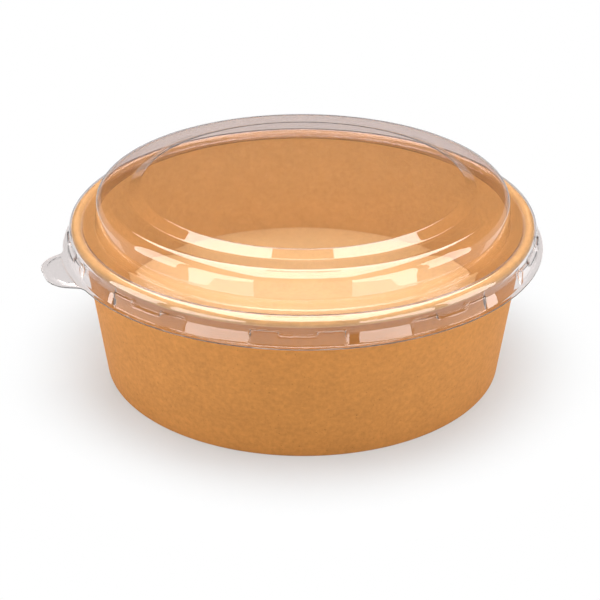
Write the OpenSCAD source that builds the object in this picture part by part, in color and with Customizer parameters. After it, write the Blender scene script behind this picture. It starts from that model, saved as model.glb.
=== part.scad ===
// Salad bowl of kraft board with a clear press-on lid.
// Millimetres, +Z up. The origin is the centre of the foot, on the surface the bowl stands on.
// The front of the bowl faces -Y.

/* [Bowl] */
// Outer diameter over the rolled rim
rim_d = 184; // [176:1:220]
// Height from the table to the top of the rim
bowl_h = 63.4; // [50:0.1:110]
// How far the wall comes in from the rim to the table
foot_in = 11; // [7:0.5:20]
// Thickness of the board
board_t = 0.5; // [0.3:0.05:0.7]
// Thickness of the rolled rim
bead_d = 3.9; // [3:0.1:5]
// How far round its circle the rim is rolled, in degrees
curl_deg = 310; // [285:1:314]
// Height of the floor's upper face above the table
floor_h = 18.8; // [14:0.1:30]
// Height of the hem that is folded up inside the foot
hem_h = 10; // [5:0.5:11]
// Inner radius of the bend between the floor and its skirt
floor_bend = 0.8; // [0.4:0.1:1.2]
// How far the skirt of the floor stops above the fold
skirt_end_gap = 0.5; // [0.2:0.1:2]
// Glue line between one layer of board and the next
glue_gap = 0.06; // [0.03:0.01:0.15]
// How much the fold under the foot is pressed flat
foot_press = 0.15; // [0.05:0.05:0.3]

/* [Side seam] */
// Width of the overlap
seam_w = 9; // [5:0.5:14]
// Direction of the seam's cut edge, in degrees round from the right
seam_at = 168; // [0:1:359]

/* [Lid fit] */
// Thickness of the clear sheet
sheet_t = 0.4; // [0.25:0.05:0.6]
// Clearance between the lid and the top of the rim
seat_gap = 0.3; // [0.2:0.05:0.5]
// Clearance between the lid's channel and the sides of the rim
rim_gap = 0.6; // [0.4:0.05:0.9]
// Clearance between the snap lugs and the outside of the rim
lug_gap = 0.3; // [0.25:0.05:0.4]
// Depth of the plug ring below the top of the rim
plug_drop = 1.4; // [0.8:0.1:3]

/* [Lid dome] */
// Width of the groove between the plug ring and the dome
groove_w = 4.5; // [2.5:0.1:6.5]
// Height of the crease in the dome's wall above the rim
crease_h = 4.6; // [3:0.1:6.5]
// How far the wall leans in from the groove to the crease
crease_in = 0.5; // [0.3:0.1:2]
// Height of the shoulder above the rim
shoulder_h = 12.6; // [11:0.1:25]
// How far the wall leans in from the crease to the shoulder
shoulder_in = 1.1; // [0.5:0.1:3]
// Radius of the shoulder
shoulder_r = 4.6; // [2:0.1:5.5]
// Width of the flat band inside the shoulder
band_w = 10.5; // [6:0.1:20]
// Height of the raised top above the shoulder
top_rise = 1.4; // [0.8:0.1:4]
// Width of the ramp round the raised top
ramp_w = 4.8; // [3:0.1:6]
// Width of the dip between the ramp and the shoulder band
dip_w = 1.8; // [0.8:0.1:2.4]
// Depth of that dip below the shoulder
dip_h = 0.5; // [0.2:0.1:1.2]

/* [Lid skirt] */
// Height from the top of the rim down to the underside of the lip
skirt_h = 10; // [8.5:0.1:14]
// Height from the top of the rim down to the ledge
ledge_drop = 3.9; // [3.6:0.1:4.6]
// Width of the ledge
ledge_w = 0.8; // [0.5:0.1:1.5]
// How far the skirt flares out from the ledge to the lip
skirt_flare = 0.45; // [0.2:0.05:1.5]
// Width of the lip beyond the skirt
lip_w = 1.6; // [1:0.1:3]
// Number of wide lugs, with as many small ones between them
lug_n = 10; // [6:1:12]
// Width of a wide lug
lug_w = 24.5; // [18:0.5:30]
// Width of a small lug
small_lug_w = 13; // [8:0.5:16]
// Height of the recess in a small lug
small_lug_h = 1.9; // [1.2:0.1:2.6]
// Direction of the first small lug, in degrees round from the right
lug_at = 269; // [0:1:359]

/* [Pull tab] */
// Width of the tab
tab_w = 31; // [20:1:40]
// How far the tab reaches beyond the lip
tab_l = 9.9; // [6:0.1:15]
// Corner radius of the tab's end
tab_r = 12; // [8:0.5:13]
// Direction of the tab, in degrees round from the right
tab_at = 201; // [0:1:359]
// Height of the raised panel on the tab
tab_emboss = 0.5; // [0.3:0.05:0.8]
// Margin round the raised panel
tab_margin = 2.4; // [1.5:0.1:4]

/* [Hidden] */

// Fineness of whole turns, of the small circles in the sections and of the tab's corners
round_fn = 240;
section_fn = 64;
tab_fn = 96;
arc_steps = 6;

kraft = "#c98f4e";
kraft_floor = "#d39a58";
clear_pet = [0.86, 0.9, 0.92, 0.35];

// Rim bead in section: its radius and the place of its centre
bead_r = bead_d / 2;
bead_x = rim_d / 2 - bead_r;
bead_z = bowl_h - bead_r;

// Foot fold in section: wall, skirt and hem lie side by side inside its outer radius
fold_r = (3 * board_t + 2 * glue_gap) / 2;
fold_z = fold_r - foot_press;

// Lean of the wall from upright, so that its inner face runs smoothly into the rolled rim
foot_r = rim_d / 2 - foot_in;
lean_x = bead_x - foot_r;
lean_span = sqrt(lean_x * lean_x + bead_z * bead_z);
wall_a = acos((bead_r - board_t) / lean_span) - atan2(bead_z, lean_x);

// Centre of the foot fold, set so that the wall's outer face meets the table at foot_r
fold_x = foot_r + (fold_z * sin(wall_a) - fold_r) / cos(wall_a);

// Length of the wall along its slope, from the fold's centre to the bead's centre
wall_l = (bead_z - fold_z) * cos(wall_a) + (bead_x - fold_x) * sin(wall_a);

// Radius of the wall's inner face at a height
function wall_in_r(z) =
    fold_x + (fold_r - board_t) / cos(wall_a) + (z - fold_z) * tan(wall_a);

// Radius of the wall's outer face at a height
function wall_out_r(z) = wall_in_r(z) + board_t / cos(wall_a);

// A point at a distance across the board, outwards, and along the wall's slope from the fold
function on_slope(n, s) = [
    fold_x + n * cos(wall_a) + s * sin(wall_a),
    fold_z - n * sin(wall_a) + s * cos(wall_a)];

// Lower end of the floor's skirt and the corner of floor and skirt, along that slope
skirt_s = skirt_end_gap - fold_r + board_t;
corner_s = (floor_h - fold_z + board_t / 2 * sin(wall_a)) / cos(wall_a);

// Side seam: the outer layer rises from the wall over a ramp and ends in a cut edge
seam_mid_r = wall_out_r(bowl_h / 2);
seam_deg = seam_w / seam_mid_r * 180 / PI;
seam_ramp_deg = acos(seam_mid_r / (seam_mid_r + board_t));
seam_sink = board_t / 4;

// Lid channel: an arc over the bead, its centre lowered so that the top clears by seat_gap
channel_in = bead_r + rim_gap;
channel_out = channel_in + sheet_t;
channel_z = bowl_h + seat_gap - channel_in;
lid_x = bead_x + channel_out;

// Plug ring and dome foot
plug_z = bowl_h - plug_drop + sheet_t;
channel_end = 180 - asin(max(0, plug_z - channel_z) / channel_out);
plug_x = bead_x + channel_out * cos(channel_end);
dome_x = plug_x - groove_w;
crease_x = dome_x - crease_in;
crease_z = bowl_h + crease_h;
shoulder_x = crease_x - shoulder_in;
shoulder_z = bowl_h + shoulder_h;
dip_x = shoulder_x - band_w;
ramp_x = dip_x - dip_w;
top_r = ramp_x - ramp_w;
top_z = shoulder_z + top_rise;

// Radii of the sheet's smaller bends, from the dome's foot up to the raised top
dome_foot_r = 0.6;
crease_r = 2;
dip_out_r = 0.8;
dip_in_r = 1;
top_edge_r = 1.5;

// Skirt, lip and lugs
ledge_z = bowl_h - ledge_drop;
lip_z = bowl_h - skirt_h + sheet_t;
skirt_x = lid_x + ledge_w;
skirt_foot_x = skirt_x + skirt_flare;
lip_x = skirt_foot_x + lip_w;
lug_x = rim_d / 2 + lug_gap + sheet_t;
lug_in_x = lug_x - sheet_t;
lug_neck_z = ledge_z - small_lug_h;
small_foot_x = skirt_x + skirt_flare * small_lug_h / (ledge_z - lip_z);
lug_deg = lug_w / lid_x * 180 / PI;
small_lug_deg = small_lug_w / lid_x * 180 / PI;
lug_step = 360 / lug_n;
end_wall_deg = sheet_t / lid_x * 180 / PI;

// Unit vector from one point to the next, its left-hand normal, and the mitred offset of a corner
function unit(v) = v / norm(v);
function left(v) = [-v[1], v[0]];
function mitre(a, b) = (left(a) + left(b)) / (1 + a * b);

// A line of points moved sideways by d, with mitred corners
function moved(p, d) = [
    for (i = [0 : len(p) - 1])
        let (a = unit(i == 0 ? p[1] - p[0] : p[i] - p[i - 1]),
             b = unit(i == len(p) - 1 ? p[i] - p[i - 1] : p[i + 1] - p[i]))
        p[i] + d * mitre(a, b)
];

// A corner rounded with radius r between its neighbours, as arc points
function rounded(p0, p1, p2, r) =
    let (a = unit(p0 - p1), b = unit(p2 - p1),
         half = acos(a * b) / 2,
         centre = p1 + unit(a + b) * r / sin(half),
         start = p1 + a * r / tan(half) - centre,
         turn = (a[0] * b[1] - a[1] * b[0] > 0 ? -1 : 1) * (180 - 2 * half))
    [for (i = [0 : arc_steps])
        let (t = turn * i / arc_steps)
        centre + [start[0] * cos(t) - start[1] * sin(t), start[0] * sin(t) + start[1] * cos(t)]];

// A line with a radius for each inner corner, 0 for a sharp one
function softened(p, r) = [
    for (i = [0 : len(p) - 1])
        each (i == 0 || i == len(p) - 1 || r[i] == 0
            ? [p[i]] : rounded(p[i - 1], p[i], p[i + 1], r[i]))
];

// The floor's upper face and the outer face of its skirt
floor_line = softened(
    [[0, floor_h], on_slope(board_t / 2, corner_s), on_slope(board_t / 2, skirt_s)],
    [0, floor_bend + board_t, 0]);

// The rim channel's upper face, from the outside over the bead to the plug ring
channel_arc = [
    for (i = [0 : 2 * arc_steps])
        let (t = channel_end * i / (2 * arc_steps))
        [bead_x + channel_out * cos(t), channel_z + channel_out * sin(t)]
];
plug_leg = plug_z < channel_z ? [[plug_x, plug_z]] : [];

// The dome's upper face from the plug ring to the centre
dome_line = softened(
    [[plug_x, plug_z],
     [dome_x, plug_z],
     [crease_x, crease_z],
     [shoulder_x, shoulder_z],
     [dip_x, shoulder_z - dip_h],
     [ramp_x, shoulder_z - dip_h],
     [top_r, top_z],
     [0, top_z]],
    [0, dome_foot_r, crease_r, shoulder_r, dip_out_r, dip_in_r, top_edge_r, 0]);
dome_rest = [for (i = [1 : len(dome_line) - 1]) dome_line[i]];

// The whole upper face, from the lip up the skirt, over the rim and up the dome
skirt_line = [[lip_x, lip_z], [skirt_foot_x, lip_z], [skirt_x, ledge_z], [lid_x, ledge_z]];
lid_line = concat(skirt_line, channel_arc, plug_leg, dome_rest);

// Wide lug: its outer face leans in from the lip to the neck, then stands up to the channel
wide_face = [[skirt_foot_x, lip_z], [lug_x, lug_neck_z], [lug_x, ledge_z - (lid_x - lug_x)]];
wide_back = moved(wide_face, sheet_t);

// Small lug: a shallow shelf that leans in from the skirt
shelf_drop = sheet_t / (small_foot_x - lug_x);
pocket_over = 1;
pocket_x = lip_x + pocket_over;
pocket_top = [[lid_x, ledge_z], [pocket_x, ledge_z + pocket_over]];

// A sheet of thickness t to the left of the given line
module sheet(line, t) {
    back = moved(line, t);
    polygon(concat(line, [for (i = [len(back) - 1 : -1 : 0]) back[i]]));
}

// The wall's own section frame: x across the board, outwards, and y up its slope
module on_wall() {
    translate([fold_x, fold_z])
        rotate(-wall_a)
            children();
}

// Rolled rim: a ring of board, open over the last part of its turn
module rim_section() {
    gap_deg = 360 - curl_deg;
    translate([fold_r - board_t + bead_r, wall_l])
        difference() {
            circle(bead_r, $fn = section_fn);
            circle(bead_r - board_t, $fn = section_fn);
            polygon([[0, 0], [-2 * bead_r, 0], [-2 * bead_r, -2 * bead_r * tan(gap_deg)]]);
        }
}

// Fold under the foot: half a ring of board
module fold_section() {
    difference() {
        circle(fold_r, $fn = section_fn);
        circle(fold_r - board_t, $fn = section_fn);
        translate([-2 * fold_r, 0])
            square([4 * fold_r, 2 * fold_r]);
    }
}

module sidewall_section() {
    difference() {
        on_wall() {
            translate([fold_r - board_t, 0])
                square([board_t, wall_l]);
            translate([-fold_r, 0])
                square([board_t, hem_h]);
            rim_section();
            fold_section();
        }
        translate([0, -2 * fold_r])
            square([rim_d, 2 * fold_r]);
    }
}

// Second layer of board at the seam, cut flush with the table below and with the rim above
module seam_section() {
    difference() {
        on_wall()
            translate([fold_r - seam_sink, -fold_z])
                square([board_t + seam_sink, wall_l + fold_z - bead_r]);
        translate([0, -2 * fold_r])
            square([rim_d, 2 * fold_r]);
    }
}

// The second layer thins out along a plane that touches the wall where the ramp begins
module seam() {
    total_deg = seam_deg + seam_ramp_deg;
    rotate(seam_at)
        difference() {
            rotate_extrude(angle = total_deg, $fn = round_fn)
                seam_section();
            rotate(total_deg)
                translate([wall_out_r(0), -rim_d / 2, 0])
                    rotate([0, wall_a, 0])
                        translate([0, 0, -bowl_h])
                            cube([rim_d, rim_d, 3 * bowl_h]);
        }
}

module sidewall() {
    color(kraft)
        union() {
            rotate_extrude($fn = round_fn)
                sidewall_section();
            seam();
        }
}

module base_disc() {
    color(kraft_floor)
        rotate_extrude($fn = round_fn)
            sheet(floor_line, -board_t);
}

// A sector of a ring, centred on a direction
module sector(middle, span) {
    rotate(middle - span / 2)
        rotate_extrude(angle = span, $fn = round_fn)
            children();
}

// Solid block behind a lug: its back is the lug's inner face, its front lies inside the sheet
module lug_block(foot, back) {
    polygon(concat(
        [foot,
         [skirt_x - sheet_t / 2, ledge_z - sheet_t / 2],
         [lid_x - sheet_t / 2, ledge_z + sheet_t / 2],
         [lug_in_x, ledge_z]],
        back));
}

module wide_block() {
    lug_block([skirt_foot_x - sheet_t / 2, lip_z - sheet_t / 2], [wide_back[1], wide_back[0]]);
}

module small_block() {
    lug_block([small_foot_x - sheet_t / 2, lug_neck_z - sheet_t], [[lug_in_x, lug_neck_z]]);
}

// The pocket in front of a lug leaves the lug's own sheet
module wide_pocket() {
    polygon(concat(wide_face, pocket_top, [[pocket_x, lip_z]]));
}

module small_pocket() {
    polygon(concat(
        [[lug_x, lug_neck_z + sheet_t], wide_face[2]],
        pocket_top,
        [[pocket_x, lug_neck_z - (pocket_x - small_foot_x) * shelf_drop]]));
}

module lug_blocks() {
    for (i = [0 : lug_n - 1]) {
        sector(lug_at + i * lug_step, small_lug_deg)
            small_block();
        sector(lug_at + (i + 0.5) * lug_step, lug_deg)
            wide_block();
    }
}

module lug_pockets() {
    for (i = [0 : lug_n - 1]) {
        sector(lug_at + i * lug_step, small_lug_deg - 2 * end_wall_deg)
            small_pocket();
        sector(lug_at + (i + 0.5) * lug_step, lug_deg - 2 * end_wall_deg)
            wide_pocket();
    }
}

// Outline of the tab, grown or shrunk all round by a margin
module tab_outline(grow) {
    r = tab_r + grow;
    side = tab_w / 2 - tab_r;
    end = lip_x + tab_l - tab_r;
    for (y = [-side, side])
        translate([end, y])
            circle(r, $fn = tab_fn);
    translate([0, -side - r])
        square([end, 2 * (side + r)]);
    translate([0, -side])
        square([end + r, 2 * side]);
}

module tab() {
    panel_from = lip_x + tab_margin / 2;
    rotate(tab_at)
        difference() {
            translate([0, 0, lip_z - sheet_t]) {
                linear_extrude(sheet_t)
                    tab_outline(0);
                linear_extrude(tab_emboss + sheet_t)
                    intersection() {
                        tab_outline(-tab_margin);
                        translate([panel_from, -tab_w])
                            square(2 * tab_w);
                    }
            }
            translate([0, 0, lip_z - 2 * sheet_t])
                linear_extrude(tab_emboss + sheet_t)
                    intersection() {
                        tab_outline(-tab_margin - sheet_t);
                        translate([panel_from + sheet_t, -tab_w])
                            square(2 * tab_w);
                    }
            cylinder(h = 2 * bowl_h, r = skirt_foot_x + lip_w / 2, $fn = round_fn);
        }
}

module lid() {
    color(clear_pet)
        difference() {
            union() {
                rotate_extrude($fn = round_fn)
                    sheet(lid_line, sheet_t);
                lug_blocks();
                tab();
            }
            lug_pockets();
        }
}

sidewall();
base_disc();
lid();
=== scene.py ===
"""Looks of a kraft board salad bowl with a clear press-on lid.

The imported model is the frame. Every piece is a section line carried round the bowl's axis and
worked out with numpy; the side seam, the lugs and the pull tab change that line with the angle.
Lengths are metres, angles in the property groups are radians, and the front of the bowl faces -Y.
"""

import math

import bmesh
import bpy
import numpy as np
from mathutils import Matrix, Vector


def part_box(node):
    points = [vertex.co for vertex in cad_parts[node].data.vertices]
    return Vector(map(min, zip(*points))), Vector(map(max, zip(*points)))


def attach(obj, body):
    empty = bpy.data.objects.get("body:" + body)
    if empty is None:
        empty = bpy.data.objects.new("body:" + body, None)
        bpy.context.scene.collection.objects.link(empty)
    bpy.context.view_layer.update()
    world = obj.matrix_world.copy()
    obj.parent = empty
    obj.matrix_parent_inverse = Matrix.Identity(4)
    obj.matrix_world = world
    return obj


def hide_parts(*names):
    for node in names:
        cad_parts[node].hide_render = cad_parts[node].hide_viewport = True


bl_info = {
    "name": "Kraft salad bowl",
    "version": (1, 0, 0),
    "blender": (4, 5, 0),
    "location": "3D View > Sidebar > Salad Bowl",
    "description": "Makes a kraft board salad bowl with a clear lid round its packed model",
    "category": "Add Mesh",
}

MM = 0.001
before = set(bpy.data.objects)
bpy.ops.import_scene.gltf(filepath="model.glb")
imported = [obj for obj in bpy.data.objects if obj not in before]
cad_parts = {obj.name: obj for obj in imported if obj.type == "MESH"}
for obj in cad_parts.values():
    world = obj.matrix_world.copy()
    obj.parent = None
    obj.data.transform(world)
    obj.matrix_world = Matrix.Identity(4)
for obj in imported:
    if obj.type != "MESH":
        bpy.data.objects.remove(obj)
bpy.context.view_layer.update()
WALL_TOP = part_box("sidewall")[1]
FLOOR_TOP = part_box("base_disc")[1]
LID_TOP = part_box("lid")[1]


def length(name, description, default, low=0.0, high=1.0):
    """A length property, in metres."""
    return bpy.props.FloatProperty(
        name=name, description=description, default=default, min=low, max=high,
        unit="LENGTH", subtype="DISTANCE", precision=5)


def angle(name, description, degrees):
    """An angle property, written in degrees and held in radians."""
    return bpy.props.FloatProperty(
        name=name, description=description, default=math.radians(degrees),
        unit="ROTATION", subtype="ANGLE")


def number(name, description, default, low=0.0, high=1.0):
    """A plain number."""
    return bpy.props.FloatProperty(
        name=name, description=description, default=default, min=low, max=high)


def colour(name, description, default):
    """A linear RGB colour."""
    return bpy.props.FloatVectorProperty(
        name=name, description=description, default=default, size=3, min=0.0, max=1.0,
        subtype="COLOR")


class SaladBowlSizes(bpy.types.PropertyGroup):
    """Sizes of the board bowl."""

    rim_r: length("Rim radius", "Outer radius over the rolled rim", WALL_TOP.y)
    height: length("Height", "From the table to the top of the rim", WALL_TOP.z)
    foot_in: length("Taper", "How far the wall comes in from the rim to the table", 11 * MM)
    board: length("Board", "Thickness of the board", 0.5 * MM)
    bead: length("Rim thickness", "Thickness of the rolled rim", 3.9 * MM)
    curl: angle("Rim curl", "How far round its circle the rim is rolled", 310)
    floor_z: length("Floor height", "Height of the floor's upper face", FLOOR_TOP.z)
    hem: length("Hem", "Height of the hem folded up inside the foot", 10 * MM)
    floor_bend: length("Floor bend", "Inner radius of the bend round the floor", 0.8 * MM)
    skirt_gap: length("Skirt gap", "How far the floor's skirt stops above the fold", 0.5 * MM)
    glue: length("Glue line", "Glue between two layers of board", 0.06 * MM)
    foot_press: length("Foot press", "How much the fold under the foot is flattened", 0.15 * MM)
    seam_w: length("Seam overlap", "Width of the side seam", 9 * MM)
    seam_at: angle("Seam direction", "Direction of the seam's cut edge", 168)


class SaladLidSizes(bpy.types.PropertyGroup):
    """Sizes of the clear lid."""

    sheet: length("Sheet", "Thickness of the clear sheet", 0.4 * MM)
    seat_gap: length("Seat gap", "Clearance over the top of the rim", 0.3 * MM)
    rim_gap: length("Rim gap", "Clearance beside the rim", 0.6 * MM)
    lug_gap: length("Lug gap", "Clearance between the lugs and the rim", 0.3 * MM)
    plug_drop: length("Plug drop", "Depth of the plug ring below the rim", 1.4 * MM)
    groove_w: length("Groove", "Width of the groove round the dome", 4.5 * MM)
    crease_h: length("Crease height", "Height of the crease above the rim", 4.6 * MM)
    crease_in: length("Crease lean", "How far the wall leans in up to the crease", 0.5 * MM)
    shoulder_h: length("Shoulder height", "Height of the shoulder above the rim", 12.6 * MM)
    shoulder_in: length("Shoulder lean", "How far the wall leans in up to the shoulder", 1.1 * MM)
    shoulder_r: length("Shoulder radius", "Radius of the shoulder", 4.6 * MM)
    band_w: length("Band", "Width of the flat band inside the shoulder", 10.5 * MM)
    dip_w: length("Dip width", "Width of the dip inside the band", 1.8 * MM)
    dip_h: length("Dip depth", "Depth of that dip below the shoulder", 0.5 * MM)
    ramp_w: length("Ramp", "Width of the ramp round the raised top", 4.8 * MM)
    skirt_h: length("Skirt height", "From the top of the rim down to the underside of the lip", 10 * MM)
    ledge_drop: length("Ledge drop", "From the top of the rim down to the ledge", 3.9 * MM)
    ledge_w: length("Ledge width", "Width of the ledge", 0.8 * MM)
    flare: length("Skirt flare", "How far the skirt flares out down to the lip", 0.45 * MM)
    lug_w: length("Wide lug", "Width of a wide lug", 24.5 * MM)
    small_lug_w: length("Small lug", "Width of a small lug", 13 * MM)
    small_lug_h: length("Small lug height", "Height of the recess in a small lug", 1.9 * MM)
    lug_at: angle("Lug direction", "Direction of the first small lug", 269)
    lugs: bpy.props.IntProperty(
        name="Lugs", description="Number of wide lugs, with as many small ones between",
        default=10, min=6, max=12)
    tab_w: length("Tab width", "Width of the pull tab", 31 * MM)
    tab_l: length("Tab length", "How far the tab reaches beyond the lip", 9.9 * MM)
    tab_r: length("Tab corner", "Corner radius of the tab's end", 12 * MM)
    tab_at: angle("Tab direction", "Direction of the pull tab", 201)
    tab_panel: length("Tab panel", "Height of the raised panel on the tab", 0.5 * MM)
    tab_margin: length("Tab margin", "Margin round the raised panel", 2.4 * MM)


class SaladBowlFinish(bpy.types.PropertyGroup):
    """Colours and finishes."""

    kraft: colour("Kraft", "Colour of the bare kraft face", (0.50, 0.205, 0.044))
    # painted light: the coated colour is the coat's own colour made paler, to stand in for the light
    # that fills the bowl under the lid
    coated_and_painted_light: colour("Coated kraft", "Colour of the coated inner face", (0.66, 0.41, 0.17))
    # painted light: the floor's coated colour is paler than the wall's, for the light of the box
    # overhead and its sheen on the upward face
    floor_coat_and_painted_light: colour("Coated floor", "Colour of the floor's coated face", (0.69, 0.475, 0.23))
    clear: colour("Clear sheet", "Tint of the clear sheet", (0.90, 0.84, 0.83))
    clear_ior: number("Sheet index", "Index of refraction of the clear sheet", 1.57, 1.3, 1.8)


class SaladBowlStage(bpy.types.PropertyGroup):
    """Camera and light."""

    view_distance: length("View distance", "From the bowl's middle to the camera", 0.62, 0.2, 5.0)
    view_height: length("View middle", "Height of the point that the camera circles", 30 * MM)
    view_rise: angle("View rise", "Elevation of the camera", 26.837)
    view_pitch: angle("View pitch", "How far the camera looks down", 27.364)
    view_turn: angle("View turn", "How far the camera turns to the left", 0.112)
    view_roll: angle("View roll", "Roll of the camera", 0.122)
    view_lens: number("Lens", "Focal length on a 36 mm sensor, in mm", 90.62, 10.0, 300.0)
    side_light: number("Side light", "Radiance of the soft boxes at the sides", 2.4, 0.0, 50.0)
    top_light: number("Top light", "Radiance of the soft box overhead", 5.4, 0.0, 50.0)
    fill_light: number("Fill light", "Radiance of the room", 0.3, 0.0, 50.0)
    gloss: number("Gloss", "Radiance of the side boxes as reflections see them", 6.5, 0.0, 50.0)
    sky_gloss: number("Sky gloss", "Radiance of the top boxes as reflections see them", 4.5, 0.0, 50.0)
    bounce: number("Bounce", "Gain of those boxes for light that the board scatters", 1.35, 0.0, 5.0)


def unit(v):
    """Vectors brought to length one."""
    return v / np.linalg.norm(v, axis=-1, keepdims=True)


def bent_line(corners, radii, steps, support=0.0):
    """A line through the corners, with an arc of the given radius and number of steps at each inner
    corner. Where support is above zero, each straight also gets a point that far from its ends."""
    corners = [np.array(c, float) for c in corners]
    parts = []
    for before, at, after, radius, count in zip(
            corners[:-2], corners[1:-1], corners[2:], radii, steps):
        a, b = unit(before - at), unit(after - at)
        if np.linalg.norm(a + b) < 1e-6:
            parts.append(at + np.linspace(-radius, radius, count + 1)[:, None] * b)
            continue
        half = math.acos(np.clip(a @ b, -1, 1)) / 2
        centre = at + unit(a + b) * radius / math.sin(half)
        start = at + a * radius / math.tan(half) - centre
        turn = -math.copysign(math.pi - 2 * half, a[0] * b[1] - a[1] * b[0])
        t = turn * np.arange(count + 1) / count
        arc = centre + np.stack([start[0] * np.cos(t) - start[1] * np.sin(t),
                                 start[0] * np.sin(t) + start[1] * np.cos(t)], -1)
        parts.append(arc)
    line = [corners[0][None]]
    for arc in parts + [corners[-1][None]]:
        last, first = line[-1][-1], arc[0]
        gap = np.linalg.norm(first - last)
        if support > 0:
            share = min(support / gap, 0.25) if gap > 0 else 0.25
            line.append(np.stack([last + (first - last) * share, first + (last - first) * share]))
        line.append(arc)
    return np.concatenate(line)


def side_step(line, distance):
    """The line moved to its left by a distance, along normals averaged at each point."""
    along = unit(np.diff(line, axis=0))
    along = unit(np.concatenate([along[:1], along[:-1] + along[1:], along[-1:]]))
    return line + distance * np.stack([-along[:, 1], along[:, 0]], -1)


def arc_points(centre, radius, start, turn, count):
    """Points on a circle from the start angle through the turn, both in radians."""
    t = start + turn * np.arange(count + 1) / count
    return np.stack([centre[0] + radius * np.cos(t), centre[1] + radius * np.sin(t)], -1)


def smooth(x):
    """0 below 0, 1 above 1, and the cubic 3x^2 - 2x^3 between."""
    x = np.clip(x, 0, 1)
    return x * x * (3 - 2 * x)


def crowded(count, spots, spread, weight):
    """Angles round a full turn that crowd near the spots: equal shares of the running total of
    one plus a bell curve at each spot."""
    fine = np.linspace(0, 2 * math.pi, 40001)
    off = (fine[:, None] - np.array(spots)[None] + math.pi) % (2 * math.pi) - math.pi
    density = 1 + weight * np.exp(-(off / spread) ** 2).sum(1)
    total = np.concatenate([[0], np.cumsum((density[1:] + density[:-1]) / 2)])
    return np.interp(np.arange(count) * total[-1] / count, total, fine)


def grid_quads(rows, columns, start=0, wrap_rows=False, flip=False):
    """Quads of a grid whose columns close into a ring; with wrap_rows the rows close too."""
    i = np.arange(rows if wrap_rows else rows - 1)[:, None]
    j = np.arange(columns)[None]
    up, right = (i + 1) % rows, (j + 1) % columns
    quads = np.stack([i * columns + j, i * columns + right, up * columns + right,
                      up * columns + j], -1).reshape(-1, 4) + start
    return quads[:, ::-1] if flip else quads


def round_axis(r, z, angles):
    """Points at radius r and height z, carried round the bowl's axis to the angles."""
    grids = np.broadcast_arrays(r * np.cos(angles), r * np.sin(angles), z)
    return np.stack(grids, -1).reshape(-1, 3)


def even_angles(count):
    """Angles evenly round a full turn."""
    return np.arange(count) * 2 * math.pi / count


def sheet_uv(across, along):
    """A UV for each point of a grid: its length round the axis and its length along the section."""
    shape = (len(along), len(across))
    return np.stack([np.broadcast_to(across, shape), np.broadcast_to(along[:, None], shape)],
                    -1).reshape(-1, 2)


def new_piece(name, points, faces, body, node, material, uv=None, marks=None, sharp=50):
    """A mesh object from points and faces, merged where points coincide, with outward faces,
    smooth but for edges above the sharp angle, riding on a body in the place of a node. The marks
    are the name of an attribute and its number at each point."""
    mesh = bpy.data.meshes.new(name)
    mesh.from_pydata(points.tolist(), [], [list(map(int, f)) for f in faces])
    if uv is not None:
        layer = mesh.uv_layers.new(name="sheet")
        loops = np.zeros(len(mesh.loops), np.int32)
        mesh.loops.foreach_get("vertex_index", loops)
        layer.data.foreach_set("uv", uv[loops].astype(np.float32).ravel())
    if marks is not None:
        layer = mesh.attributes.new(marks[0], "FLOAT", "POINT")
        layer.data.foreach_set("value", marks[1].astype(np.float32).ravel())
    work = bmesh.new()
    work.from_mesh(mesh)
    bmesh.ops.remove_doubles(work, verts=work.verts, dist=0.002 * MM)
    if work.calc_volume(signed=True) < 0:
        bmesh.ops.reverse_faces(work, faces=work.faces)
    work.to_mesh(mesh)
    work.free()
    mesh.shade_smooth()
    mesh.set_sharp_from_angle(angle=math.radians(sharp))
    mesh.materials.append(material)
    piece = bpy.data.objects.new(name, mesh)
    bpy.context.scene.collection.objects.link(piece)
    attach(piece, body)
    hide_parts(node)


def wall_frame(s):
    """Derived measures of the wall, as the bowl is built: the bead's radius, the wall's lean from
    upright, the fold's centre and radius, and the wall's length along its slope."""
    bead_r = s.bead / 2
    bead = np.array([s.rim_r - bead_r, s.height - bead_r])
    fold_r = (3 * s.board + 2 * s.glue) / 2
    fold_z = fold_r - s.foot_press
    foot_r = s.rim_r - s.foot_in
    run = bead[0] - foot_r
    lean = math.acos((bead_r - s.board) / math.hypot(run, bead[1])) - math.atan2(bead[1], run)
    fold_x = foot_r + (fold_z * math.sin(lean) - fold_r) / math.cos(lean)
    rise = (bead[1] - fold_z) * math.cos(lean) + (bead[0] - fold_x) * math.sin(lean)
    return bead_r, lean, np.array([fold_x, fold_z]), fold_r, rise


def on_slope(points, lean, fold):
    """Points across and along the wall's slope, turned by the lean and moved to the fold."""
    across, along = points[:, 0], points[:, 1]
    return np.stack([fold[0] + across * math.cos(lean) + along * math.sin(lean),
                     fold[1] - across * math.sin(lean) + along * math.cos(lean)], -1)


def strip_loop(middle, thickness):
    """The closed outline of a strip whose middle line is given, and the distance along the strip
    at each of its points. The face to the left of the line comes first."""
    run = np.concatenate([[0], np.cumsum(np.linalg.norm(np.diff(middle, axis=0), axis=1))])
    outline = np.concatenate([side_step(middle, thickness / 2),
                              side_step(middle, -thickness / 2)[::-1]])
    return outline, np.concatenate([run, run[::-1]])


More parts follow.
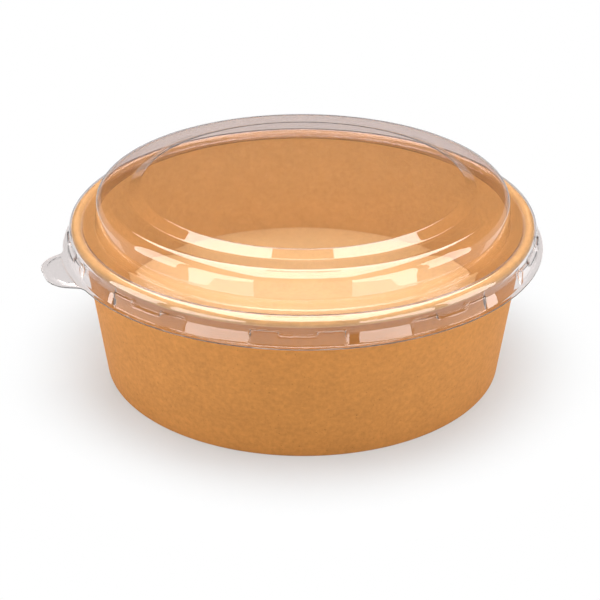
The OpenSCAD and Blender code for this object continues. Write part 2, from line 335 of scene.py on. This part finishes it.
class SALADBOWL_OT_wall(bpy.types.Operator):
    """Make the side wall: one blank from the hem inside the foot up to the rolled rim"""

    bl_idname = "saladbowl.wall"
    bl_label = "Side wall"

    def execute(self, context):
        s = context.scene.salad_bowl
        bead_r, lean, fold, fold_r, rise = wall_frame(s)
        half = s.board / 2
        inner = fold_r - half
        bead_at = (fold_r - s.board + bead_r, rise)
        straight = np.linspace(0, 1, 24)[1:-1]
        hem = np.stack([np.full(6, -inner), np.linspace(s.hem, 0.3 * MM, 6)], -1)
        turn_steps = 16
        turn = arc_points((0, 0), inner, math.pi, math.pi, turn_steps)
        slope = np.stack([np.full(len(straight), inner), rise * straight], -1)
        curl = arc_points(bead_at, bead_r - half, math.pi, -s.curl, 44)
        middle = np.concatenate([hem, turn, slope, curl])
        outline, run = strip_loop(middle, s.board)
        section = on_slope(outline, lean, fold)

        # the outer layer of the seam lies on the outer face between the table and the bead
        outside = np.zeros(len(section), bool)
        lowest = len(section) - len(hem) - turn_steps // 2
        outside[len(section) - (len(hem) + len(turn) + len(slope)):lowest] = True
        mid_r = s.rim_r - s.foot_in / 2
        lap = s.seam_w / mid_r
        ramp = math.acos(mid_r / (mid_r + s.board))
        cut = 0.02 * MM / mid_r
        columns = 360
        angles = crowded(columns, [s.seam_at, s.seam_at + lap, s.seam_at + lap + ramp], 0.01, 12)
        angles = np.sort(np.concatenate([angles, [s.seam_at - cut, s.seam_at]]))
        past = (angles - s.seam_at + math.pi) % (2 * math.pi) - math.pi
        lift = np.where(past >= -cut / 2, np.clip(1 - (past - lap) / ramp, 0, 1), 0) * s.board
        r = section[:, 0][:, None] + np.where(outside, 1, 0)[:, None] * lift[None]
        points = round_axis(r, np.maximum(section[:, 1], 0)[:, None], angles)
        uv = sheet_uv(((angles - s.seam_at) % (2 * math.pi)) * mid_r, run)
        faces = grid_quads(len(section), len(angles), wrap_rows=True)
        coated_and_painted_light = np.repeat([1, 0], len(middle) * len(angles))
        new_piece("kraft_wall", points, faces, "bowl", "sidewall",
                  board_material("kraft_wall", context.scene.salad_finish), uv,
                  ("coated_and_painted_light", coated_and_painted_light), sharp=40)
        return {"FINISHED"}


class SALADBOWL_OT_floor(bpy.types.Operator):
    """Make the floor: a pressed disc with a skirt between the wall and its hem"""

    bl_idname = "saladbowl.floor"
    bl_label = "Floor"

    def execute(self, context):
        s = context.scene.salad_bowl
        _, lean, fold, fold_r, _ = wall_frame(s)
        half = s.board / 2
        low = s.skirt_gap - fold_r + s.board
        high = (s.floor_z - half - fold[1]) / math.cos(lean)
        skirt = on_slope(np.array([[0, high], [0, low]]), lean, fold)
        middle = bent_line([(0, s.floor_z - half), skirt[0], skirt[1]],
                           [s.floor_bend + half], [10], 0.4 * MM)
        flat = np.linspace(0, 1, 8)[1:-1, None] * middle[1][None] * [1, 0] + [0, s.floor_z - half]
        middle = np.concatenate([middle[:1], flat, middle[1:]])
        section, run = strip_loop(middle, s.board)
        angles, floor_r = even_angles(360), 0.08
        points = round_axis(np.maximum(section[:, 0], 0)[:, None], section[:, 1][:, None], angles)
        uv = sheet_uv(angles * floor_r, run)
        faces = grid_quads(len(section), len(angles))
        coated_and_painted_light = np.repeat([1, 0], len(middle) * len(angles))
        new_piece("kraft_floor", points, faces, "bowl", "base_disc",
                  board_material("kraft_floor", context.scene.salad_finish), uv,
                  ("coated_and_painted_light", coated_and_painted_light), sharp=40)
        return {"FINISHED"}


def lid_sections(s, bowl):
    """Upper face of the lid in section as three lines of equal length, for the plain skirt, a wide
    lug and a small lug, from the lip over the rim to the centre; and the radii of the channel over
    the rim and of the lip."""
    bead_r = bowl.bead / 2
    bead_x, rim_z = bowl.rim_r - bead_r, bowl.height
    channel = bead_r + s.rim_gap + s.sheet
    channel_z = rim_z + s.seat_gap + s.sheet - channel
    lid_x = bead_x + channel
    plug_z = rim_z - s.plug_drop + s.sheet
    sweep = math.pi - math.asin(max(0, plug_z - channel_z) / channel)
    plug_x = bead_x + channel * math.cos(sweep)
    dome_x = plug_x - s.groove_w
    crease = (dome_x - s.crease_in, rim_z + s.crease_h)
    shoulder = (crease[0] - s.shoulder_in, rim_z + s.shoulder_h)
    dip_x = shoulder[0] - s.band_w
    ramp_x = dip_x - s.dip_w
    top_r = ramp_x - s.ramp_w
    dip_z = shoulder[1] - s.dip_h

    ledge_z = rim_z - s.ledge_drop
    lip_z = rim_z - s.skirt_h + s.sheet
    skirt_x = lid_x + s.ledge_w
    foot_x = skirt_x + s.flare
    lip_x = LID_TOP.y
    lug_x = bowl.rim_r + s.lug_gap + s.sheet
    neck_z = ledge_z - s.small_lug_h
    small_x = skirt_x + s.flare * s.small_lug_h / (ledge_z - lip_z)

    lip, leg = (lip_x, lip_z), (lid_x, channel_z)
    foot = (foot_x, lip_z)
    over_lug = (lug_x, ledge_z - 0.3 * MM)
    plain = [lip, foot, (small_x, neck_z), (skirt_x, ledge_z), (lid_x, ledge_z), leg]
    wide = [lip, foot, (lug_x + 0.2 * MM, neck_z - 0.3 * MM), (lug_x, neck_z + 0.4 * MM), over_lug, leg]
    small = [lip, foot, (small_x, neck_z), (lug_x, neck_z + s.sheet), over_lug, leg]
    steps = [3, 2, 4, 3]
    radii = {
        "plain": [0.5 * MM, 0.5 * MM, 0.55 * MM, 0.2 * MM],
        "wide": [0.5 * MM, 0.5 * MM, 0.4 * MM, 0.2 * MM],
        "small": [0.5 * MM, 0.6 * MM, 0.2 * MM, 0.2 * MM],
    }
    skirts = [bent_line(c, radii[k], steps, 0.3 * MM)
              for k, c in (("plain", plain), ("wide", wide), ("small", small))]

    over_rim = arc_points((bead_x, channel_z), channel, 0, sweep, 12)[1:]
    dome = bent_line(
        [over_rim[-1], (dome_x, plug_z), crease, shoulder, (dip_x, dip_z), (ramp_x, dip_z),
         (top_r, LID_TOP.z), (0, LID_TOP.z)],
        [0.6 * MM, 2 * MM, s.shoulder_r, 0.8 * MM, 1 * MM, 1.5 * MM],
        [3, 4, 12, 3, 3, 4], 0.4 * MM)
    upper = np.concatenate([over_rim, dome[1:-1]])
    return [np.concatenate([skirt, upper]) for skirt in skirts], lid_x, lip_x


def lug_weight(angles, width, count, first, radius, soft):
    """1 within a lug and 0 outside it, with a smooth step over the soft length at each end."""
    pitch = 2 * math.pi / count
    off = np.abs((angles - first + pitch / 2) % pitch - pitch / 2) * radius
    return 1 - smooth((off - width / 2) / soft + 0.5)


def tab_distance(x, y, s, lip_x):
    """Signed distance to the tab's outline in the tab's own directions: a box with round corners."""
    reach = lip_x + s.tab_l
    qx = np.abs(x - reach / 2) - reach / 2 + s.tab_r
    qy = np.abs(y) - s.tab_w / 2 + s.tab_r
    return (np.hypot(np.maximum(qx, 0), np.maximum(qy, 0))
            + np.minimum(np.maximum(qx, qy), 0) - s.tab_r)


def lip_outline(angles, s, lip_x):
    """Radius of the lip's edge at each angle: the union of the lip's circle and the tab, with a
    small fillet where they meet, found by halving the interval."""
    low = np.full(len(angles), lip_x - 2 * MM)
    high = np.full(len(angles), lip_x + s.tab_l + 2 * MM)
    fillet = 3 * MM
    for _ in range(48):
        r = (low + high) / 2
        tab = tab_distance(r * np.cos(angles - s.tab_at), r * np.sin(angles - s.tab_at), s, lip_x)
        ring = r - lip_x
        near = np.clip(0.5 + (ring - tab) / (2 * fillet), 0, 1)
        joined = ring + (tab - ring) * near - fillet * near * (1 - near)
        low = np.where(joined < 0, r, low)
        high = np.where(joined < 0, high, r)
    return low


class SALADBOWL_OT_lid(bpy.types.Operator):
    """Make the clear lid: one sheet from the lip and its tab over the rim to the raised top"""

    bl_idname = "saladbowl.lid"
    bl_label = "Clear lid"

    def execute(self, context):
        s, bowl = context.scene.salad_lid, context.scene.salad_bowl
        sections, lid_x, lip_x = lid_sections(s, bowl)
        pitch = 2 * math.pi / s.lugs
        ends = [s.lug_at + pitch * (k + part) + side * width / (2 * lid_x)
                for k in range(s.lugs) for side in (-1, 1)
                for part, width in ((0, s.small_lug_w), (0.5, s.lug_w))]
        root = math.asin(s.tab_w / 2 / lip_x)
        ends += [s.tab_at - root, s.tab_at + root]
        columns, spread, lug_soft, panel_soft = 520, 0.55 / 93, 0.9 * MM, 0.7 * MM
        angles = crowded(columns, ends, spread, 7)

        faces, layers = [], []
        rows = len(sections[0])
        for side, grow in ((0, 0), (1, 0.3 * MM)):
            plain, wide, small = (side_step(x, side * s.sheet) for x in sections)
            plain, wide, small = (x[:, None] for x in (plain, wide, small))
            in_wide = lug_weight(angles, s.lug_w + 2 * grow, s.lugs, s.lug_at + pitch / 2,
                                 lid_x, lug_soft)[None, :, None]
            in_small = lug_weight(angles, s.small_lug_w + 2 * grow, s.lugs, s.lug_at,
                                  lid_x, lug_soft)[None, :, None]
            sheet = plain + in_wide * (wide - plain) + in_small * (small - plain)
            layers.append(sheet)

        # the tab takes the columns where the outline leaves the lip's circle
        edge = lip_outline(angles, s, lip_x)
        out = np.flatnonzero(edge > lip_x + 0.01 * MM)
        tab_rows = 22
        share = np.linspace(0, 1, tab_rows + 1)[1:, None]
        tab_r = lip_x + (edge[out] - lip_x)[None] * share
        local = angles[out] - s.tab_at
        inside = -tab_distance(tab_r * np.cos(local), tab_r * np.sin(local), s, lip_x)
        panel = (smooth((inside - s.tab_margin) / panel_soft + 0.5)
                 * smooth((tab_r - lip_x - s.tab_margin / 2) / panel_soft + 0.5)) * s.tab_panel

        points, edges, frost = [], [], []
        ring = np.arange(columns)
        for side, sheet in enumerate(layers):
            base = side * (rows * columns + 1 + tab_rows * len(out))
            pole = [[0, 0, LID_TOP.z - side * s.sheet]]
            points += [round_axis(sheet[..., 0], sheet[..., 1], angles), pole,
                       round_axis(tab_r, sheet[0, out, 1][None] + panel, angles[out])]
            # the cut edge all round is rough: the first row of the lip and the last one of the tab
            on_lip = np.zeros((rows, columns))
            on_lip[0] = 1
            on_lip[0, out] = 0
            on_tab = np.zeros((tab_rows, len(out)))
            on_tab[-1] = 1
            frost += [on_lip.ravel(), [0], on_tab.ravel()]
            quads = grid_quads(rows, columns, start=base)
            last = base + (rows - 1) * columns
            fan = np.stack([last + ring, last + (ring + 1) % columns,
                            np.full(columns, base + rows * columns)], -1)
            # vertex numbers of the tab's patch, whose first row and both ends lie on the lip
            tab = np.tile(base + ring, (tab_rows + 1, 1))
            tab[1:, out] = (base + rows * columns + 1
                            + np.arange(tab_rows * len(out)).reshape(tab_rows, -1))
            left = np.unique(np.concatenate([out, (out - 1) % columns]))
            right = (left + 1) % columns
            patch = np.stack([tab[1:, left], tab[1:, right], tab[:-1, right], tab[:-1, left]],
                             -1).reshape(-1, 4)
            for group in (quads.tolist(), fan.tolist(), patch.tolist()):
                for face in group:
                    face = list(dict.fromkeys(face))
                    if len(face) > 2:
                        faces.append(face[::-1] if side else face)
            edges.append(tab[-1])
        top, low = edges
        after = (ring + 1) % columns
        faces += np.stack([top[after], top[ring], low[ring], low[after]], -1).tolist()
        new_piece("clear_lid", np.concatenate(points), faces, "cover", "lid",
                  clear_material(context.scene.salad_finish), marks=("frost", np.concatenate(frost)))
        return {"FINISHED"}


def socket(group, name, way, kind, default=None):
    """A named input or output of a node group."""
    made = group.interface.new_socket(name=name, in_out=way, socket_type=kind)
    if default is not None:
        made.default_value = default


def emptied_nodes(owner):
    """Nodes and links of a material or a world, with the nodes taken out."""
    owner.use_nodes = True
    owner.node_tree.nodes.clear()
    return owner.node_tree.nodes, owner.node_tree.links


def math_node(nodes, links, kind, *values):
    """The result of a Math node of that kind on sockets or numbers."""
    node = nodes.new("ShaderNodeMath")
    node.operation = kind
    for value, into in zip(values, node.inputs):
        if isinstance(value, (int, float)):
            into.default_value = value
        else:
            links.new(value, into)
    return node.outputs[0]


def board_grain():
    """Node group of kraft board: cloudy tone, fibres and sparse flecks from noise at three sizes.
    It puts out the colour, a roughness and a height."""
    name = "board_grain"
    if name in bpy.data.node_groups:
        return bpy.data.node_groups[name]
    group = bpy.data.node_groups.new(name, "ShaderNodeTree")
    socket(group, "Place", "INPUT", "NodeSocketVector")
    socket(group, "Colour", "INPUT", "NodeSocketColor", (0.5, 0.3, 0.1, 1))
    socket(group, "Contrast", "INPUT", "NodeSocketFloat", 1.0)
    socket(group, "Roughness", "INPUT", "NodeSocketFloat", 0.7)
    socket(group, "Colour", "OUTPUT", "NodeSocketColor")
    socket(group, "Roughness", "OUTPUT", "NodeSocketFloat")
    socket(group, "Height", "OUTPUT", "NodeSocketFloat")
    nodes, links = group.nodes, group.links
    given = nodes.new("NodeGroupInput")
    made = nodes.new("NodeGroupOutput")

    def noise(scale, detail, stretch=(1, 1, 1), turn=0.0):
        """Noise of that scale on the place, stretched and turned."""
        place = nodes.new("ShaderNodeMapping")
        place.inputs["Scale"].default_value = stretch
        place.inputs["Rotation"].default_value = (0, 0, turn)
        links.new(given.outputs["Place"], place.inputs["Vector"])
        texture = nodes.new("ShaderNodeTexNoise")
        texture.inputs["Scale"].default_value = scale
        texture.inputs["Detail"].default_value = detail
        texture.inputs["Roughness"].default_value = 0.6
        links.new(place.outputs["Vector"], texture.inputs["Vector"])
        return texture.outputs["Fac"]

    def ranged(value, low, high, to_low, to_high):
        """A value carried from one range to another, and held at its ends."""
        node = nodes.new("ShaderNodeMapRange")
        for end, x in zip(("From Min", "From Max", "To Min", "To Max"), (low, high, to_low, to_high)):
            node.inputs[end].default_value = x
        links.new(value, node.inputs["Value"])
        return node.outputs[0]

    clouds = ranged(noise(90, 2), 0.3, 0.7, -0.05, 0.05)
    grain = ranged(noise(480, 3), 0.3, 0.7, -0.11, 0.11)
    fibres_a = ranged(noise(260, 3, (1, 7, 3), 0.35), 0.62, 0.8, 0, 0.22)
    fibres_b = ranged(noise(260, 3, (7, 1, 3), -0.5), 0.62, 0.8, 0, -0.24)
    flecks = ranged(noise(900, 1), 0.70, 0.78, 0, -0.35)
    tone = clouds
    for part in (grain, fibres_a, fibres_b, flecks):
        tone = math_node(nodes, links, "ADD", tone, part)
    tone = math_node(nodes, links, "MULTIPLY", tone, given.outputs["Contrast"])
    shade = nodes.new("ShaderNodeVectorMath")
    shade.operation = "SCALE"
    links.new(given.outputs["Colour"], shade.inputs[0])
    links.new(math_node(nodes, links, "ADD", tone, 1.0), shade.inputs["Scale"])
    links.new(shade.outputs["Vector"], made.inputs["Colour"])
    sheen = math_node(nodes, links, "MULTIPLY", tone, 0.25)
    links.new(math_node(nodes, links, "SUBTRACT", given.outputs["Roughness"], sheen),
              made.inputs["Roughness"])
    height = math_node(nodes, links, "ADD", grain, fibres_a)
    links.new(math_node(nodes, links, "ADD", height, 0.5), made.inputs["Height"])
    return group


def board_material(name, finish):
    """Kraft board: bare on the face outside, with a thin satin coating on the face that meets the
    food. The coated colours are partly painted light, paler than the coat to stand in for the light
    inside the bowl. The faces are told apart by the attribute that marks the coated face."""
    material = bpy.data.materials.new(name)
    nodes, links = emptied_nodes(material)
    shader = nodes.new("ShaderNodeBsdfPrincipled")
    out = nodes.new("ShaderNodeOutputMaterial")
    links.new(shader.outputs[0], out.inputs["Surface"])
    grain = nodes.new("ShaderNodeGroup")
    grain.node_tree = board_grain()
    place = nodes.new("ShaderNodeTexCoord")
    links.new(place.outputs["UV" if name == "kraft_wall" else "Object"], grain.inputs["Place"])
    coated_and_painted_light = nodes.new("ShaderNodeAttribute")
    coated_and_painted_light.attribute_name = "coated_and_painted_light"

    def told(bare, covered, into):
        """A number for the bare face and one for the coated face, linked into a socket."""
        node = nodes.new("ShaderNodeMapRange")
        node.inputs["To Min"].default_value = bare
        node.inputs["To Max"].default_value = covered
        links.new(coated_and_painted_light.outputs["Fac"], node.inputs["Value"])
        links.new(node.outputs[0], into)

    colours = nodes.new("ShaderNodeMix")
    colours.data_type = "RGBA"
    colours.inputs["A"].default_value = (*finish.kraft, 1)
    # the coated colours hold painted light: the wall's inner face is paler for the light inside the
    # bowl, and the floor paler still for the box overhead
    inner = finish.coated_and_painted_light if name == "kraft_wall" else finish.floor_coat_and_painted_light
    colours.inputs["B"].default_value = (*inner, 1)
    links.new(coated_and_painted_light.outputs["Fac"], colours.inputs["Factor"])
    links.new(colours.outputs["Result"], grain.inputs["Colour"])
    told(1.0, 0.7, grain.inputs["Contrast"])
    told(0.68, 0.55, grain.inputs["Roughness"])
    bump = nodes.new("ShaderNodeBump")
    bump.inputs["Strength"].default_value = 0.25
    bump.inputs["Distance"].default_value = 0.06 * MM
    links.new(grain.outputs["Height"], bump.inputs["Height"])
    links.new(grain.outputs["Colour"], shader.inputs["Base Color"])
    links.new(grain.outputs["Roughness"], shader.inputs["Roughness"])
    links.new(bump.outputs["Normal"], shader.inputs["Normal"])
    shader.inputs["Specular IOR Level"].default_value = 0.2
    return material


def clear_material(finish):
    """Clear sheet: smooth plastic that lets the lamps' light through to the bowl, with a frosted
    cut edge that the frost attribute marks."""
    material = bpy.data.materials.new("clear_sheet")
    nodes, links = emptied_nodes(material)
    shader = nodes.new("ShaderNodeBsdfPrincipled")
    shader.inputs["Base Color"].default_value = (*finish.clear, 1)
    shader.inputs["Transmission Weight"].default_value = 1.0
    shader.inputs["IOR"].default_value = finish.clear_ior
    frost = nodes.new("ShaderNodeAttribute")
    frost.attribute_name = "frost"
    rough = nodes.new("ShaderNodeMapRange")
    rough.inputs["To Min"].default_value = 0.02
    rough.inputs["To Max"].default_value = 0.5
    links.new(frost.outputs["Fac"], rough.inputs["Value"])
    links.new(rough.outputs[0], shader.inputs["Roughness"])
    through = nodes.new("ShaderNodeBsdfTransparent")
    through.inputs["Color"].default_value = (0.97, 0.965, 0.965, 1)
    rays = nodes.new("ShaderNodeLightPath")
    mix = nodes.new("ShaderNodeMixShader")
    out = nodes.new("ShaderNodeOutputMaterial")
    links.new(rays.outputs["Is Shadow Ray"], mix.inputs["Fac"])
    links.new(shader.outputs[0], mix.inputs[1])
    links.new(through.outputs[0], mix.inputs[2])
    links.new(mix.outputs[0], out.inputs["Surface"])
    return material


def seen_rays(nodes, links):
    """1 for camera, glossy and transmission rays, which see the white background, as long as no
    diffuse face lies before them, so that the background throws no light on the object."""
    rays = nodes.new("ShaderNodeLightPath")
    total = rays.outputs["Is Camera Ray"]
    for kind in ("Is Glossy Ray", "Is Transmission Ray"):
        total = math_node(nodes, links, "MAXIMUM", total, rays.outputs[kind])
    direct = math_node(nodes, links, "LESS_THAN", rays.outputs["Diffuse Depth"], 0.5)
    return math_node(nodes, links, "MULTIPLY", total, direct)


def table_material():
    """White table: lit as it is near the bowl, so that it keeps the shadow, and plain white to the
    eye further out; from below it can be seen through. Inside the foot ring it glows for diffuse
    rays alone, so that the underside isn't black in a view from below."""
    material = bpy.data.materials.new("white_table")
    nodes, links = emptied_nodes(material)
    shadow_r, white_r, foot_r = 0.08, 0.14, 0.078
    surface = nodes.new("ShaderNodeBsdfDiffuse")
    surface.inputs["Color"].default_value = (0.58, 0.605, 0.62, 1)
    white = nodes.new("ShaderNodeEmission")
    white.inputs["Strength"].default_value = 1.0
    place = nodes.new("ShaderNodeTexCoord")
    far = nodes.new("ShaderNodeVectorMath")
    far.operation = "LENGTH"
    links.new(place.outputs["Object"], far.inputs[0])
    fade = nodes.new("ShaderNodeMapRange")
    fade.interpolation_type = "SMOOTHSTEP"
    fade.inputs["From Min"].default_value = shadow_r
    fade.inputs["From Max"].default_value = white_r
    fade.inputs["To Min"].default_value = 0.3
    links.new(far.outputs["Value"], fade.inputs["Value"])
    to_eye = math_node(nodes, links, "MULTIPLY", fade.outputs[0], seen_rays(nodes, links))
    inside = math_node(nodes, links, "LESS_THAN", far.outputs["Value"], foot_r)
    rays = nodes.new("ShaderNodeLightPath")
    glow = math_node(nodes, links, "MULTIPLY_ADD", inside, rays.outputs["Is Diffuse Ray"], to_eye)
    mix = nodes.new("ShaderNodeMixShader")
    links.new(glow, mix.inputs["Fac"])
    links.new(surface.outputs[0], mix.inputs[1])
    links.new(white.outputs[0], mix.inputs[2])
    below = nodes.new("ShaderNodeMixShader")
    back = nodes.new("ShaderNodeNewGeometry")
    clear = nodes.new("ShaderNodeBsdfTransparent")
    links.new(back.outputs["Backfacing"], below.inputs["Fac"])
    links.new(mix.outputs[0], below.inputs[1])
    links.new(clear.outputs[0], below.inputs[2])
    out = nodes.new("ShaderNodeOutputMaterial")
    links.new(below.outputs[0], out.inputs["Surface"])
    return material


def soft_box(name, wide, high, place, towards, radiance):
    """A rectangular lamp whose face has the given radiance: its power is radiance times pi times
    its area. Only the light that it throws is seen, and cards stand in for it in reflections."""
    lamp = bpy.data.lights.new(name, "AREA")
    lamp.shape = "RECTANGLE"
    lamp.size, lamp.size_y = wide, high
    lamp.energy = radiance * math.pi * wide * high
    holder = bpy.data.objects.new(name, lamp)
    holder.location = place
    holder.rotation_euler = (Vector(towards) - Vector(place)).to_track_quat("-Z", "Y").to_euler()
    holder.visible_camera = False
    holder.visible_glossy = False
    holder.visible_transmission = False
    bpy.context.scene.collection.objects.link(holder)


def stage_mesh(name, points, faces, material):
    """A mesh object that belongs to the stage and not to the bowl."""
    mesh = bpy.data.meshes.new(name)
    mesh.from_pydata(points, [], faces)
    mesh.materials.append(material)
    made = bpy.data.objects.new(name, mesh)
    bpy.context.scene.collection.objects.link(made)
    return made


def seen_in_gloss(name, points, faces, radiance, behind=False):
    """A card or cloth of the given radiance that only reflections see. With behind, it also shows
    in the lid's second face, whose reflection leaves the sheet as a transmission ray. To rays that
    a diffuse face has sent on, a box shines by the bounce gain, which lights the bowl's inside
    through the lid, and a cloth is as bright as the room, so that it takes no light away."""
    material = bpy.data.materials.new(name)
    nodes, links = emptied_nodes(material)
    glow = nodes.new("ShaderNodeEmission")
    glow.inputs["Color"].default_value = (1, 0.97, 0.95, 1)
    rays = nodes.new("ShaderNodeLightPath")
    strength = nodes.new("ShaderNodeMapRange")
    strength.inputs["To Min"].default_value = radiance
    stage = bpy.context.scene.salad_stage
    strength.inputs["To Max"].default_value = max(radiance * stage.bounce, stage.fill_light)
    links.new(rays.outputs["Diffuse Depth"], strength.inputs["Value"])
    links.new(strength.outputs[0], glow.inputs["Strength"])
    out = nodes.new("ShaderNodeOutputMaterial")
    links.new(glow.outputs[0], out.inputs["Surface"])
    card = stage_mesh(name, points, faces, material)
    for kind in ("camera", "diffuse", "shadow", "volume_scatter"):
        setattr(card, f"visible_{kind}", False)
    card.visible_transmission = behind


def gloss_box(name, x, y, z, radiance, behind=False):
    """A flat card that reflections see: each of x, y and z is a pair of ends, and one pair is a
    single place."""
    low, high = (np.array([v[end] for v in (x, y, z)]) for end in (0, -1))
    flat = int(np.argmin(high - low))
    a, b = [i for i in range(3) if i != flat]
    points = []
    for u, v in ((0, 0), (1, 0), (1, 1), (0, 1)):
        point = low.copy()
        point[a] += u * (high - low)[a]
        point[b] += v * (high - low)[b]
        points.append(point.tolist())
    seen_in_gloss(name, points, [(0, 1, 2, 3)], radiance, behind)


def dark_drape():
    """A dark cloth round the set that only reflections see: a closed cylinder in two parts, cut
    above the camera, of which the upper one also shows in the lid's second face."""
    radius, bottom, cut, top = 1.9, -1.2, 0.4, 1.5
    radiance = 0.03
    columns = 64
    angles = even_angles(columns)
    sides = grid_quads(2, columns).tolist()
    low, high = (round_axis(radius, np.array(ends)[:, None], angles).tolist()
                 for ends in ((bottom, cut), (cut, top)))
    floor = list(range(columns))[::-1]
    seen_in_gloss("dark_drape_low", low, sides + [floor], radiance)
    ceiling = list(range(columns, 2 * columns))
    seen_in_gloss("dark_drape_high", high, sides + [ceiling], radiance, behind=True)


class SALADBOWL_OT_stage(bpy.types.Operator):
    """Make the table, the lamps, the room and the camera"""

    bl_idname = "saladbowl.stage"
    bl_label = "Stage"

    def execute(self, context):
        s = context.scene.salad_stage
        columns, table_r, table_z = 96, 0.28, -0.05 * MM
        ring = round_axis(table_r, table_z, even_angles(columns))
        stage_mesh("white_table", ring.tolist(), [list(range(columns))], table_material())
        dark_drape()

        lamp_x, lamp_y, lamp_z, sky_z = 0.62, -0.58, 0.34, 0.95
        for side, name in ((-1, "left"), (1, "right")):
            soft_box(f"{name}_box", 1.2, 0.7, (side * lamp_x, lamp_y, lamp_z), (0, lamp_y, lamp_z),
                     s.side_light)
        soft_box("top_box", 1.1, 0.8, (0, 0.1, sky_z), (0, 0, 0.04), s.top_light)

        # the cards lie where the mirror directions of the photographed highlights point
        card_x, strip_x, sky_x = 0.6, 0.114, 0.475
        near_y, sky_near_y, far_y = -1.31, -0.95, 1.25
        for side, name in ((-1, "left"), (1, "right")):
            across = sorted((side * strip_x, side * sky_x))
            at = (side * card_x,)
            gloss_box(f"{name}_sky", across, (sky_near_y, far_y), (sky_z,), s.sky_gloss, behind=True)
            gloss_box(f"{name}_side", at, (-0.29, 0.02), (-0.05, 0.5), s.gloss)
            gloss_box(f"{name}_front", at, (near_y, -0.38), (-0.10, 0.36), s.gloss)
            gloss_box(f"{name}_low", at, (near_y, 0.02), (-0.45, -0.10), 0.4 * s.gloss)
        strip = (-strip_x, strip_x)
        gloss_box("front_sky", strip, (sky_near_y, 0.22), (sky_z,), s.sky_gloss, behind=True)
        gloss_box("back_sky", strip, (0.42, far_y), (sky_z,), s.sky_gloss, behind=True)

        world = bpy.data.worlds.new("studio")
        context.scene.world = world
        nodes, links = emptied_nodes(world)
        room = nodes.new("ShaderNodeBackground")
        room.inputs["Strength"].default_value = s.fill_light
        white = nodes.new("ShaderNodeBackground")
        white.inputs["Color"].default_value = (1, 1, 1, 1)
        mix = nodes.new("ShaderNodeMixShader")
        out = nodes.new("ShaderNodeOutputWorld")
        links.new(seen_rays(nodes, links), mix.inputs["Fac"])
        links.new(room.outputs[0], mix.inputs[1])
        links.new(white.outputs[0], mix.inputs[2])
        links.new(mix.outputs[0], out.inputs["Surface"])

        lens = bpy.data.cameras.new("photo_view")
        lens.sensor_width = 36
        lens.lens = s.view_lens
        lens.clip_start = 0.01
        camera = bpy.data.objects.new("photo_view", lens)
        place = Vector((0, -s.view_distance * math.cos(s.view_rise),
                        s.view_height + s.view_distance * math.sin(s.view_rise)))
        camera.matrix_world = (Matrix.Translation(place)
                               @ Matrix.Rotation(s.view_turn, 4, "Z")
                               @ Matrix.Rotation(math.pi / 2 - s.view_pitch, 4, "X")
                               @ Matrix.Rotation(s.view_roll, 4, "Z"))
        context.scene.collection.objects.link(camera)
        context.scene.camera = camera
        context.scene.view_settings.view_transform = "Standard"
        return {"FINISHED"}


class SALADBOWL_PT_panel(bpy.types.Panel):
    """Lists the pieces"""

    bl_label = "Salad Bowl"
    bl_space_type = "VIEW_3D"
    bl_region_type = "UI"
    bl_category = "Salad Bowl"

    def draw(self, context):
        for operator in OPERATORS:
            self.layout.operator(operator.bl_idname)
        for group in GROUPS:
            settings = getattr(context.scene, group)
            box = self.layout.box()
            for name in settings.bl_rna.properties.keys():
                if name not in {"name", "rna_type"}:
                    box.prop(settings, name)


GROUPS = {
    "salad_bowl": SaladBowlSizes,
    "salad_lid": SaladLidSizes,
    "salad_finish": SaladBowlFinish,
    "salad_stage": SaladBowlStage,
}
OPERATORS = (SALADBOWL_OT_wall, SALADBOWL_OT_floor, SALADBOWL_OT_lid, SALADBOWL_OT_stage)


def register():
    """Registers the classes and hangs the property groups on the scene."""
    for cls in (*GROUPS.values(), *OPERATORS, SALADBOWL_PT_panel):
        bpy.utils.register_class(cls)
    for name, group in GROUPS.items():
        setattr(bpy.types.Scene, name, bpy.props.PointerProperty(type=group))


def unregister():
    """Takes the property groups off the scene and the classes out again."""
    for name in GROUPS:
        delattr(bpy.types.Scene, name)
    for cls in reversed((*GROUPS.values(), *OPERATORS, SALADBOWL_PT_panel)):
        bpy.utils.unregister_class(cls)


def main():
    """Makes the bowl, the lid and the stage."""
    register()
    bpy.ops.saladbowl.wall()
    bpy.ops.saladbowl.floor()
    bpy.ops.saladbowl.lid()
    bpy.ops.saladbowl.stage()


if __name__ == "__main__":
    main()
